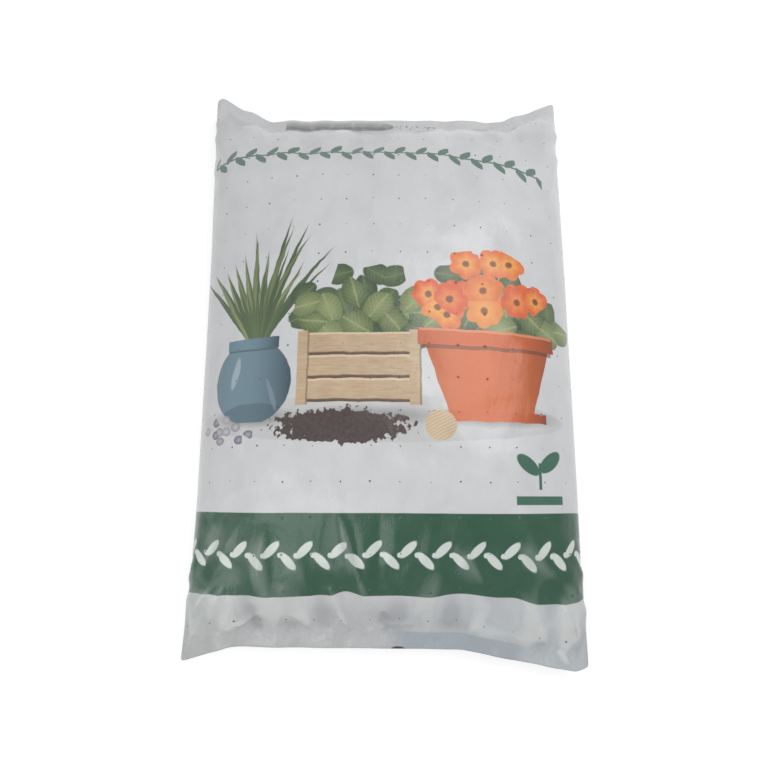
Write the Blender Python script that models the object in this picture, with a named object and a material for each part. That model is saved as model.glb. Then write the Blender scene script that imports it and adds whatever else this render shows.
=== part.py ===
"""A filled compost bag lying on its back: a tube of plastic film, welded shut at both ends.

Metres, +Z up. The origin is the middle of the underside, +Y points to the top of the print,
and the printed front faces up. The bag is sealed, so film and compost are one solid.
"""

import math

import bmesh
import bpy

# Overall sizes of the filled bag
BAG_LENGTH = 0.549  # from the longest ear at one end to the longest ear at the other
TOP_CORNER_WIDTH = 0.354  # across the ears at the top of the print, where the film lies flat
LOW_CORNER_WIDTH = 0.330  # across the ears at the lower end, which is fuller
BODY_WIDTH = 0.335  # across the filled middle
THICKNESS = 0.076  # height of the filled middle above the floor

# The closed ends
WELD_FIN = 0.012  # flat strip of film outside the weld
FIN_THICKNESS = 0.0012  # the two layers of film and the air between them
WELD_HEIGHT = 0.019  # the weld hangs this high at the middle of an end
FOLD_HEIGHT = 0.016  # height of the fold that runs along each side
EAR_REACH = {(1, 1): 0.0185, (1, -1): 0.026, (-1, 1): 0.0165, (-1, -1): 0.0105}  # by end and side
EAR_START = 0.68  # an ear begins this far out, as a share of half the width
FIN_DROOP = 0.003  # the fin's free edge hangs this much lower

# How the underside rounds up from the floor
SIDE_ROUNDING = 0.030
END_ROUNDING = 0.026

# Gathers that run in from the welds, and the fold that each ear sends into the body
GATHER_HEIGHT = 0.0026
GATHER_PITCH = 0.042
GATHER_REACH = 0.020
EAR_FOLD_DEPTH = 0.0045
EAR_FOLD_WIDTH = 0.008
EAR_FOLD_REACH = 0.045
EAR_FOLD_SLANT = 0.8  # sideways for each metre inwards

# The printed band, measured on the floor plan from the weld at the lower end
BAND_OFFSET = 0.030
BAND_WIDTH = 0.065

# The mesh: columns across the film, and cells along each stretch of it
COLUMNS = 48
CELLS = {"fin": 1, "end": 6, "below band": 2, "band": 6, "body": 26}
COLUMN_CROWDING = 0.3  # how much the columns crowd towards the side folds

# Looks of the film
FILM_COLOUR = (0.62, 0.62, 0.64)
BAND_COLOUR = (0.035, 0.122, 0.072)
FILM_ROUGHNESS = 0.32

TOP_REACH = max(EAR_REACH[1, 1], EAR_REACH[1, -1])
LOW_REACH = max(EAR_REACH[-1, 1], EAR_REACH[-1, -1])
WELD_Y = (BAG_LENGTH - TOP_REACH - LOW_REACH) / 2 - WELD_FIN  # half the length between the welds
MIDDLE_SHIFT = (TOP_REACH - LOW_REACH) / 2  # brings the middle of the whole length to y = 0


def evenly(start, stop, cells):
    """The starts of equal cells between two places."""
    return [start + (stop - start) * i / cells for i in range(cells)]


def row_places():
    """Place of each row of film along the bag, on its centre line, from the lower end up."""
    edge = WELD_Y + WELD_FIN
    flat = WELD_Y - END_ROUNDING
    band_low = -WELD_Y + BAND_OFFSET
    band_high = band_low + BAND_WIDTH
    rows = evenly(-edge, -WELD_Y, CELLS["fin"])
    rows += evenly(-WELD_Y, -flat, CELLS["end"])
    rows += evenly(-flat, band_low, CELLS["below band"])
    rows += evenly(band_low, band_high, CELLS["band"])
    rows += evenly(band_high, flat, CELLS["body"])
    rows += evenly(flat, WELD_Y, CELLS["end"])
    rows += evenly(WELD_Y, edge, CELLS["fin"])
    return rows + [edge]


def half_width(end, t):
    """Half the bag's width towards an end, where t runs from 0 in the middle to 1 at its weld."""
    corner_width = TOP_CORNER_WIDTH if end > 0 else LOW_CORNER_WIDTH
    return BODY_WIDTH / 2 + (corner_width - BODY_WIDTH) / 2 * min(t, 1.0) ** 1.3


def ear_reach(end, s):
    """How far an end's edge stands out beyond its middle, at s of the half width."""
    side = 1 if s > 0 else -1
    along_ear = max(abs(s) - EAR_START, 0.0) / (1 - EAR_START)
    return EAR_REACH[end, side] * along_ear**1.2


def gathers(x, inward, end):
    """Height of the small ridges that run in from a weld."""
    ridge = math.cos(2 * math.pi * x / GATHER_PITCH + end)
    ridge += 0.5 * math.cos(2 * math.pi * x / (GATHER_PITCH * 0.62) + 2 * end)
    ridge *= 0.6 + 0.4 * math.sin(2 * math.pi * x / (GATHER_PITCH * 3.3) + 2 * end)
    along = inward / GATHER_REACH
    return GATHER_HEIGHT * ridge * along * math.exp(1 - along)


def ear_fold(x, y, width):
    """Depth of the fold that runs from each ear towards the middle of the bag."""
    along = WELD_Y - abs(y)
    across = (width - abs(x)) - EAR_FOLD_SLANT * along
    reach = along / EAR_FOLD_REACH
    return EAR_FOLD_DEPTH * reach * math.exp(1 - reach) * math.exp(-((across / EAR_FOLD_WIDTH) ** 2))


def quarter_round(distance, radius):
    """Rises from 0 at the rim to 1 at the radius, as a quarter of a circle does."""
    return math.sqrt(1 - (1 - min(max(distance / radius, 0.0), 1.0)) ** 2)


def film_point(s, y_row, upper):
    """Where a point of the film lies: s across the half width, y_row along the centre line."""
    end = 1 if y_row > 0 else -1
    t = abs(y_row) / WELD_Y
    inward = WELD_Y - abs(y_row)
    width = half_width(end, t)
    x = s * width
    y = y_row + end * ear_reach(end, s) * min(t, 1.0) ** 6 - MIDDLE_SHIFT
    seam = WELD_HEIGHT + (FOLD_HEIGHT - WELD_HEIGHT) * abs(s) ** 4
    seam += GATHER_HEIGHT * 0.3 * math.sin(2 * math.pi * x / GATHER_PITCH) * min(t, 1.0) ** 20
    if inward < 0:
        seam -= FIN_DROOP * -inward / WELD_FIN
        return x, y, seam + (FIN_THICKNESS / 2 if upper else -FIN_THICKNESS / 2)
    if upper:
        fullness = (1 - min(t, 1.0) ** 3) ** 0.62
        arch = math.sqrt(max(0.0, 1 - abs(s) ** (2 + 4 * t**4)))
        height = (THICKNESS - WELD_HEIGHT - FIN_THICKNESS / 2) * fullness * arch
        height += gathers(x, inward, end) * arch - ear_fold(x, y_row, width) * fullness
        return x, y, seam + max(height, 0.0) + FIN_THICKNESS / 2
    drop = quarter_round(width - abs(x), SIDE_ROUNDING) * quarter_round(inward, END_ROUNDING)
    return x, y, (seam - FIN_THICKNESS / 2) * (1 - drop)


def material(name, colour, roughness):
    """A Principled material for glossy printed film."""
    made = bpy.data.materials.new(name)
    made.use_nodes = True
    shader = made.node_tree.nodes["Principled BSDF"]
    shader.inputs["Base Color"].default_value = (*colour, 1.0)
    shader.inputs["Roughness"].default_value = roughness
    shader.inputs["Metallic"].default_value = 0.0
    return made


def flat_envelope(rows):
    """Two equal sheets of film joined all round their rims, before filling."""
    envelope = bmesh.new()
    bmesh.ops.create_grid(envelope, x_segments=COLUMNS, y_segments=len(rows) - 1, size=1.0)
    bmesh.ops.translate(envelope, verts=envelope.verts[:], vec=(0, 0, 1))
    lower = bmesh.ops.duplicate(envelope, geom=envelope.faces[:])["geom"]
    lower_faces = [piece for piece in lower if isinstance(piece, bmesh.types.BMFace)]
    lower_corners = [piece for piece in lower if isinstance(piece, bmesh.types.BMVert)]
    bmesh.ops.reverse_faces(envelope, faces=lower_faces)
    bmesh.ops.translate(envelope, verts=lower_corners, vec=(0, 0, -2))
    rims = [edge for edge in envelope.edges if edge.is_boundary]
    bmesh.ops.bridge_loops(envelope, edges=rims)
    return envelope


def fill(envelope, rows):
    """Moves every corner of the flat envelope to its place on the filled bag."""
    for corner in envelope.verts:
        u = corner.co.x
        s = u * (1 + COLUMN_CROWDING * (1 - u * u))
        row = round((corner.co.y + 1) / 2 * (len(rows) - 1))
        corner.co = film_point(s, rows[row], corner.co.z > 0)


def print_band(envelope, rows):
    """Gives the printed band's faces, on both sheets, the second material."""
    first = rows.index(-WELD_Y + BAND_OFFSET)
    for face in envelope.faces:
        row = (face.calc_center_median().y + 1) / 2 * (len(rows) - 1)
        face.material_index = int(first < row < first + CELLS["band"])


def flatten_underside(envelope):
    """Joins the faces that rest on the floor into one flat face for each colour."""
    for slot in (0, 1):
        resting = [
            face
            for face in envelope.faces
            if face.material_index == slot and all(corner.co.z < 1e-7 for corner in face.verts)
        ]
        bmesh.ops.dissolve_faces(envelope, faces=resting, use_verts=True)


def compost_bag():
    """The whole bag as one closed object."""
    rows = row_places()
    envelope = flat_envelope(rows)
    print_band(envelope, rows)
    fill(envelope, rows)
    flatten_underside(envelope)
    bmesh.ops.recalc_face_normals(envelope, faces=envelope.faces[:])
    mesh = bpy.data.meshes.new("compost_bag")
    envelope.to_mesh(mesh)
    envelope.free()
    mesh.materials.append(material("white printed film", FILM_COLOUR, FILM_ROUGHNESS))
    mesh.materials.append(material("green printed band", BAND_COLOUR, FILM_ROUGHNESS))
    mesh.shade_smooth()
    mesh.set_sharp_from_angle(angle=math.radians(50))
    bag = bpy.data.objects.new("compost_bag", mesh)
    bpy.context.scene.collection.objects.link(bag)
    return bag


for old in list(bpy.data.objects):
    bpy.data.objects.remove(old, do_unlink=True)
compost_bag()
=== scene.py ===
# %% [markdown]
# # A filled bag of compost, lying on its back
# The real object is one length of plastic tube. Both ends are welded shut, and compost fills it.
# Everything that makes it look real comes from that: the film can't stretch, so where the compost
# swells it up, the sides draw in, the corners stay behind as flat ears, and the ends wrinkle. The
# CAD model gives the size and the place on the floor. This script gives the film its folds, its
# print, its pin pricks and its gloss.

import math

import bpy
import numpy as np
from mathutils import Matrix, Vector, noise


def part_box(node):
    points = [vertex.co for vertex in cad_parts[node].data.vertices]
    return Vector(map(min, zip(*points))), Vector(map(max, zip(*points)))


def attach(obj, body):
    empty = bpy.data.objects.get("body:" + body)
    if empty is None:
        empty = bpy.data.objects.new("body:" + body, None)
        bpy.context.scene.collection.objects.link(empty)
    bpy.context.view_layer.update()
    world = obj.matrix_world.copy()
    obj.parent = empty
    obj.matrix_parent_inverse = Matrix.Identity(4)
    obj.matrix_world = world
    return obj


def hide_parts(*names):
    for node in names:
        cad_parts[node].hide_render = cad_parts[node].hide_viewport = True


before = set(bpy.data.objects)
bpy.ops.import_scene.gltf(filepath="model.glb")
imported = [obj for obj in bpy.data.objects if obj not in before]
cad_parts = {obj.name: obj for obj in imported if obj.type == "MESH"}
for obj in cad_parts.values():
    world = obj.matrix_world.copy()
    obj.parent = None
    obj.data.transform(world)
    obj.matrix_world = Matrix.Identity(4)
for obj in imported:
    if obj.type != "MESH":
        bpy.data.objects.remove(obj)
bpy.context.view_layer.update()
bag_low, bag_high = (np.array(corner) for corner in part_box("compost_bag"))
print("CAD bag, millimetres:", np.round((bag_high - bag_low) * 1000, 1))

# %% [markdown]
# ## The form comes from the film, not from a drawing
# The bag could be sculpted, or lofted through a few outlines. Neither gives believable folds,
# because a fold appears where film has length to spare, and only the film knows where that is.
# So the flat, empty tube is made first, at its real size, and is then filled.
#
# Blender's Cloth is the usual tool for this. Its pressure blows a sheet up as if it were rubber,
# and stiff springs make it shake at this size. The film here is stiffer than any cloth along its
# surface and limp across it, so a small solver of its own does better: it only ever moves points,
# and it puts every distance between neighbours right many times in each round.

# %% Sizes of the empty tube
FILM_WIDTH = 0.365  # the tube pressed flat, from side fold to side fold
WELD_TO_WELD = 0.505
FIN_WIDTH = 0.012  # film outside each weld
FILL_VOLUME = 0.0089  # cubic metres of settled compost
FILM_THICKNESS = 0.0006  # drawn thicker than the real tenth of a millimetre, so that its edge shows


def film_net(across, along, fin_rows):
    """Numbers the points of the tube. Front and back share the side folds and the welds."""
    front = np.arange((across + 1) * (along + 1)).reshape(across + 1, along + 1)
    count = front.size
    back = front.copy()
    inside = back[1:-1, 1:-1].shape
    back[1:-1, 1:-1] = count + np.arange(math.prod(inside)).reshape(inside)
    count += math.prod(inside)
    fins = []
    for weld_row in (0, along):
        fin = np.empty((across + 1, fin_rows + 1), int)
        fin[:, 0] = front[:, weld_row]
        fin[:, 1:] = count + np.arange((across + 1) * fin_rows).reshape(across + 1, fin_rows)
        count += (across + 1) * fin_rows
        fins.append(fin)
    steps = (FILM_WIDTH / across, WELD_TO_WELD / along, FIN_WIDTH / fin_rows)
    return {"front": front, "back": back, "fins": fins, "points": count, "steps": steps}


# %% [markdown]
# ## Ties that keep the film's lengths
# Each tie holds two points at the distance they have on the flat tube. Ties between neighbours keep
# the film from stretching, ties across each small square keep it from shearing, and weak ties over
# two squares keep it from folding like paper at every row. A tie pulls fully when it is too long.
# When it is too short it pushes less, because slack film is free to wrinkle.
# The ties come in groups in which no point is used twice, so numpy can move a whole group at once.

# %% The ties
SLACK_PUSH = 0.7  # how strongly film resists being squeezed along its surface
SHEAR_HOLD = 0.6
BEND_HOLD = 0.08
FIN_BEND_HOLD = 0.5  # two layers welded together are stiffer
FIN_IN_LINE = 0.5  # keeps a fin pointing the way both sheets run at the weld
FIN_PUSH = 0.9
FIN_SHEAR_HOLD = 0.8


def ties_along(sheet, axis, gap, length, pull, push):
    """Ties between points that lie gap steps apart in one direction of a sheet."""
    lines = np.moveaxis(sheet, axis, 0)
    starts = np.arange(len(lines) - gap)
    for parity in (0, 1):
        chosen = starts[(starts // gap) % 2 == parity]
        yield lines[chosen].ravel(), lines[chosen + gap].ravel(), length, pull, push


def ties_across(sheet, length, pull, push):
    """Ties from corner to corner of every square of a sheet."""
    for parity in (0, 1):
        near, far = sheet[parity:-1:2], sheet[parity + 1 :: 2]
        yield near[:, :-1].ravel(), far[:, 1:].ravel(), length, pull, push
        yield near[:, 1:].ravel(), far[:, :-1].ravel(), length, pull, push


def film_ties(net):
    """All ties of the tube and its fins."""
    step_u, step_v, step_fin = net["steps"]
    ties = []
    for sheet, own in ((net["front"], slice(None)), (net["back"], slice(1, -1))):
        ties += ties_along(sheet[:, own], 0, 1, step_u, 1.0, SLACK_PUSH)
        ties += ties_along(sheet[own, :], 1, 1, step_v, 1.0, SLACK_PUSH)
        ties += ties_across(sheet, math.hypot(step_u, step_v), SHEAR_HOLD, SHEAR_HOLD * SLACK_PUSH)
        ties += ties_along(sheet[:, 1:-1], 0, 2, 2 * step_u, BEND_HOLD, BEND_HOLD)
        ties += ties_along(sheet[1:-1, :], 1, 2, 2 * step_v, BEND_HOLD, BEND_HOLD)
    for fin, row in zip(net["fins"], (1, -2)):
        ties += ties_along(fin[:, 1:], 0, 1, step_u, 1.0, FIN_PUSH)
        ties += ties_along(fin, 1, 1, step_fin, 1.0, FIN_PUSH)
        ties += ties_across(fin, math.hypot(step_u, step_fin), FIN_SHEAR_HOLD, FIN_SHEAR_HOLD)
        ties += ties_along(fin, 0, 2, 2 * step_u, FIN_BEND_HOLD, FIN_BEND_HOLD)
        for k in range(1, fin.shape[1]):
            reach = k * step_fin + step_v
            ties.append((fin[:, k], net["front"][:, row], reach, 0.0, FIN_IN_LINE))
            ties.append((fin[1:-1, k], net["back"][1:-1, row], reach, 0.0, FIN_IN_LINE))
        ties.append((fin[:, 0], fin[:, -1], FIN_WIDTH, 1.0, 1.0))
    return ties


# %% The empty tube, laid flat
SHAKE = 0.0002  # every point is moved up or down by about this much, so that folds can begin


def flat_tube(net, height, bulge, shake):
    """Places every point on the flat tube, with front and back parted a little in the middle."""
    across, along = (n - 1 for n in net["front"].shape)
    s = np.linspace(0, 1, across + 1)[:, None]
    t = np.linspace(0, 1, along + 1)[None, :]
    x = FILM_WIDTH * (s - 0.5) + 0 * t
    y = WELD_TO_WELD * (t - 0.5) + 0 * s
    part = bulge * np.sin(np.pi * s) * np.sin(np.pi * t)
    points = np.zeros((net["points"], 3))
    points[net["back"]] = np.stack([x, y, height - part], -1)
    points[net["front"]] = np.stack([x, y, height + part], -1)
    for fin, end in zip(net["fins"], (-1, 1)):
        out = WELD_TO_WELD / 2 + np.linspace(0, FIN_WIDTH, fin.shape[1])[None, 1:]
        width = x[:, :1] + 0 * out
        points[fin[:, 1:]] = np.stack([width, end * out + 0 * width, height + 0 * width], -1)
    points[:, 2] += shake.normal(0, SHAKE, len(points))
    return points


# %% [markdown]
# ## Filling
# In every round the points drift on a little, then the volume is brought towards what it should be,
# by pushing every point outwards in the direction that adds most volume. Lower points are pushed
# harder, as loose compost does. Then the ties are put right, and nothing goes through the floor,
# where friction holds it. The front is never allowed below the back.

# %% Filling the tube
FLOOR_GRIP = 0.6
DEPTH_PUSH = 0.5  # extra push for each 100 mm below the top
LEAST_GAP = 0.0004  # between front and back
DRIFT_KEPT = 0.9  # how much of its last move a point goes on with
MOST_DRIFT = 0.004
SINK = 0.00002  # how far its weight takes a point down in one round
MOST_PUSH = 0.002


def volume_and_push(net, points):
    """The volume held by the tube, and for each point the direction that adds most to it."""
    push = np.zeros_like(points)
    volume = 0.0
    for sheet, sign in ((net["front"], 1.0), (net["back"], -1.0)):
        place = points[sheet]
        rising, falling = place[1:, 1:] - place[:-1, :-1], place[:-1, 1:] - place[1:, :-1]
        area = 0.5 * sign * np.cross(rising, falling)
        middle = (place[1:, 1:] + place[:-1, :-1] + place[:-1, 1:] + place[1:, :-1]) / 4
        volume += (middle * area).sum() / 3
        share = np.zeros_like(place)
        for corner in (share[1:, 1:], share[:-1, 1:], share[1:, :-1], share[:-1, :-1]):
            corner += area / 4
        push[sheet] += share
    return volume, push


def put_right(points, ties):
    """Moves both points of every tie until they are the right distance apart."""
    for first, second, length, pull, push in ties:
        apart = points[second] - points[first]
        distance = np.sqrt(np.einsum("ij,ij->i", apart, apart)) + 1e-12
        share = 0.5 * (1 - length / distance)
        share *= np.where(share > 0, pull, push)
        apart *= share[:, None]
        points[first] += apart
        points[second] -= apart


def fill_tube(net, points, rounds, passes, start_volume, ramp):
    """Swells the tube to its volume and lets it come to rest on the floor."""
    ties = film_ties(net)
    front, back = net["front"][1:-1, 1:-1], net["back"][1:-1, 1:-1]
    before = points.copy()
    for turn in range(rounds):
        wanted = start_volume + (FILL_VOLUME - start_volume) * min(1.0, turn / ramp)
        drift = np.clip((points - before) * DRIFT_KEPT, -MOST_DRIFT, MOST_DRIFT)
        before = points.copy()
        points = points + drift
        points[:, 2] -= SINK
        for again in range(passes):
            volume, push = volume_and_push(net, points)
            weight = 1 + DEPTH_PUSH * (points[:, 2].max() - points[:, 2]) / 0.1
            weighted = push * weight[:, None]
            scale = (wanted - volume) / (np.einsum("ij,ij->", push, weighted) + 1e-30)
            points += np.clip(weighted * scale, -MOST_PUSH, MOST_PUSH) * 0.5
            put_right(points, ties if again % 2 == 0 else ties[::-1])
            low = points[:, 2] < 0
            points[low, 2] = 0
            points[low, :2] += (before[low, :2] - points[low, :2]) * FLOOR_GRIP
            short = np.maximum(LEAST_GAP - (points[front, 2] - points[back, 2]), 0) / 2
            points[front, 2] += short
            points[back, 2] -= short
    return points


# %% [markdown]
# ## Coarse first, then fine
# Large folds settle slowly on a fine net, because news travels one point at a time. So a net of
# 8 mm squares is filled first, and its result is spread over a net of 4 mm squares, shaken by a
# fifth of a millimetre and left to settle again. The short wrinkles at the ends form there.

# %% Run the filling
COARSE = (44, 64, 2)  # squares across, along, and across a fin
FINE = (88, 122, 3)
ROUNDS = 160  # of filling the coarse net
STARTING_VOLUME = 0.001
SWELLING = 0.56  # share of the rounds in which the volume grows


def spread(grid, across, along):
    """Reads a grid of points at more places, evenly."""
    old_s, old_t = np.linspace(0, 1, grid.shape[0]), np.linspace(0, 1, grid.shape[1])
    new_s, new_t = np.linspace(0, 1, across + 1), np.linspace(0, 1, along + 1)
    rows = [[np.interp(new_s, old_s, grid[:, j, k]) for j in range(len(old_t))] for k in range(3)]
    rows = np.array(rows)
    wide = [[np.interp(new_t, old_t, rows[k, :, i]) for i in range(across + 1)] for k in range(3)]
    return np.moveaxis(np.array(wide), 0, -1)


def finer(net, points, size):
    """Carries the film's shape over to a finer net."""
    new = film_net(*size)
    moved = np.zeros((new["points"], 3))
    moved[new["back"]] = spread(points[net["back"]], size[0], size[1])
    moved[new["front"]] = spread(points[net["front"]], size[0], size[1])
    for old_fin, new_fin in zip(net["fins"], new["fins"]):
        moved[new_fin] = spread(points[old_fin], size[0], size[2])
    return new, moved


net = film_net(*COARSE)
points = flat_tube(net, 0.02, 0.006, np.random.default_rng(3))
points = fill_tube(net, points, ROUNDS, 10, STARTING_VOLUME, ROUNDS * SWELLING)
net, points = finer(net, points, FINE)
points[:, 2] += np.random.default_rng(5).normal(0, SHAKE, len(points))
points = fill_tube(net, points, 50, 8, FILL_VOLUME, 1)
print("filled film, millimetres:", np.round(np.ptp(points, axis=0) * 1000, 1))
print("litres:", round(volume_and_push(net, points)[0] * 1000, 2))

# %% [markdown]
# ## Fitting the film to this bag
# A bag that has been carried and dropped is never as regular as a freshly filled one. The compost
# has slid to the lower end, handling has pulled the ears out to points, and the side folds run
# almost straight. So the side folds and the free edges of the fins are drawn to the lines that the
# photograph shows. The film between them follows, and less so further in.

# %% The outline of this bag
MM = 0.001
# each side fold, from the lower end up: place along the bag and distance from its middle line
SIDE_LINES = {
    -1: ((-268, 162.8), (-195, 159.4), (-140, 160), (0, 164), (90, 167.3), (176, 172), (268, 176)),
    1: ((-268, 166.8), (-195, 166.2), (-140, 168.2), (0, 171.6), (90, 174), (176, 176), (268, 177)),
}
# the free edge of each fin, from left to right: place across the bag and along it
END_LINES = {
    -1: ((-163.5, -267), (-162, -268), (-122.5, -257), (9, -257.5), (63.5, -258), (79.5, -261),
         (112, -267), (156, -274.5), (167, -270.5)),
    1: ((-177, 269), (-171, 276), (-160, 269.5), (-148.5, 262), (-131.5, 256), (-117, 249.5),
        (124.5, 250), (142.5, 257.5), (163.5, 264), (177, 268.5)),
}
TOP_EAR_LIFT = 0.006  # the ears at the top stand up a little
END_FOLLOWS = (0.17, 0.075)  # the ends follow from here outwards, fully after this much more
WELD_SOFTENING = (0.222, 3.0)  # starts this far from the middle, and reaches over this many rows


def whole_sheet(net, name):
    """Point numbers of one side of the tube with both fins, from the lower end to the top."""
    lower_fin, upper_fin = net["fins"]
    return np.concatenate([lower_fin[:, :0:-1], net[name], upper_fin[:, 1:]], axis=1)


def film_places(net):
    """Place of every column and row of a whole sheet on the flat film."""
    across, along = (n - 1 for n in net["front"].shape)
    fin_rows = net["fins"][0].shape[1] - 1
    half = WELD_TO_WELD / 2
    fin = np.linspace(0, FIN_WIDTH, fin_rows + 1)[1:]
    rows = np.concatenate([-half - fin[::-1], np.linspace(-half, half, along + 1), half + fin])
    columns = np.linspace(-FILM_WIDTH / 2, FILM_WIDTH / 2, across + 1)
    return np.stack(np.meshgrid(columns, rows, indexing="ij"), -1)


def on_line(line, places):
    """Reads a line of points, given in millimetres, at these places."""
    first, second = np.array(line).T * MM
    return np.interp(places, first, second)


def eased(amount):
    """Runs smoothly from 0 to 1."""
    amount = np.clip(amount, 0, 1)
    return amount * amount * (3 - 2 * amount)


def straighten_sides(points, net):
    """Moves both side folds to their lines, and the film beside them with them."""
    x, y = points[:, 0].copy(), points[:, 1].copy()
    for side, column in ((-1, 0), (1, -1)):
        fold = points[whole_sheet(net, "front")[column]]
        reach = abs(fold[:, 0])
        share = np.clip(abs(x) / np.interp(y, fold[:, 1], reach), 0, 1)
        stretch = np.interp(y, fold[:, 1], on_line(SIDE_LINES[side], fold[:, 1]) / reach) - 1
        here = np.sign(x) == side
        points[here, 0] = (x * (1 + stretch * share**1.5))[here]


def straighten_ends(points, net):
    """Moves the free edges of both fins to their lines, and lifts the ears at the top."""
    x, y = points[:, 0].copy(), points[:, 1].copy()
    for end, fin in zip((-1, 1), net["fins"]):
        edge = points[fin[:, -1]]
        shift = np.interp(x, edge[:, 0], on_line(END_LINES[end], edge[:, 0]) - edge[:, 1])
        here = np.sign(y) == end
        points[here, 1] += (shift * eased((abs(y) - END_FOLLOWS[0]) / END_FOLLOWS[1]))[here]
    ear = np.clip((abs(x) / (FILM_WIDTH / 2) - 0.7) / 0.28, 0, 1) ** 1.5
    points[:, 2] += TOP_EAR_LIFT * ear * eased((y - 0.20) / 0.06)


def soften_welds(points, net):
    """Evens the heights out across each weld, so that the fin goes on where the film comes down."""
    sheet = whole_sheet(net, "front")
    along = abs(film_places(net)[..., 1])
    share = eased((along - WELD_SOFTENING[0]) / 0.02)
    weights = np.exp(-((np.arange(-8, 9) / WELD_SOFTENING[1]) ** 2) / 2)
    heights = np.pad(points[sheet, 2], ((0, 0), (8, 8)), mode="edge")
    rows = sheet.shape[1]
    even = sum(w * heights[:, k : k + rows] for k, w in enumerate(weights)) / weights.sum()
    points[sheet, 2] += (even - points[sheet, 2]) * share


straighten_sides(points, net)
straighten_ends(points, net)
soften_welds(points, net)
points[:, 2] -= points[:, 2].min()
print("shaped film, millimetres:", np.round(np.ptp(points, axis=0) * 1000, 1))

# %% [markdown]
# ## From points to a closed mesh
# The piece has to be a closed body with its faces pointing outwards. The front with both fins is
# one grid and the back with the same fins is another, a film's thickness below it, and a narrow
# strip joins them round the rim. Every point knows where it lies on the flat film, and this is
# kept as the UV map "film", in metres. The print, the pin pricks and the creases all use it, so
# they follow the folds as real print does. The back has the same map, one metre further along.

# %% The film mesh
BACK_SHIFT = 1.0


def new_object(name, data):
    """A new object in the scene."""
    made = bpy.data.objects.new(name, data)
    bpy.context.scene.collection.objects.link(made)
    return made


def finish_modifier(piece, modifier):
    """Replaces the piece's mesh by what the modifier makes of it."""
    ready = piece.evaluated_get(bpy.context.evaluated_depsgraph_get())
    piece.data = bpy.data.meshes.new_from_object(ready)
    piece.modifiers.remove(modifier)


def rim_numbers(shape):
    """Numbers of a grid's outer points, in order round the rim."""
    grid = np.arange(shape[0] * shape[1]).reshape(shape)
    return np.concatenate([grid[:-1, 0], grid[-1, :-1], grid[:0:-1, -1], grid[0, :0:-1]])


def film_mesh(net, points):
    """A closed mesh of front, back and rim, with the film's own UV map."""
    front = points[whole_sheet(net, "front")]
    back = points[whole_sheet(net, "back")]
    shape = front.shape[:2]
    front[..., 2] += FILM_THICKNESS / 2
    back[..., 2] -= FILM_THICKNESS / 2
    grid = np.arange(shape[0] * shape[1]).reshape(shape)
    up = np.stack([grid[:-1, :-1], grid[1:, :-1], grid[1:, 1:], grid[:-1, 1:]], -1).reshape(-1, 4)
    down = up[:, ::-1] + grid.size
    rim = rim_numbers(shape)
    after = np.roll(rim, -1)
    edge = np.stack([rim + grid.size, after + grid.size, after, rim], -1)
    corners = np.concatenate([front.reshape(-1, 3), back.reshape(-1, 3)])
    corners[:, 2] -= corners[:, 2].min()
    mesh = bpy.data.meshes.new("film_bag")
    mesh.from_pydata(corners.tolist(), [], np.concatenate([up, down, edge]).tolist())
    places = film_places(net).reshape(-1, 2)
    back_places = places + (BACK_SHIFT, 0)
    uvs = [places[up], back_places[down - grid.size], places[edge % grid.size]]
    layer = mesh.uv_layers.new(name="film")
    layer.uv.foreach_set("vector", np.concatenate(uvs).ravel())
    mesh.shade_smooth()
    return mesh


bag = new_object("film_bag", film_mesh(net, points))
rounding = bag.modifiers.new("finer film", "SUBSURF")
rounding.levels = rounding.render_levels = 1
finish_modifier(bag, rounding)
print("film mesh:", len(bag.data.polygons), "faces")
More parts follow.
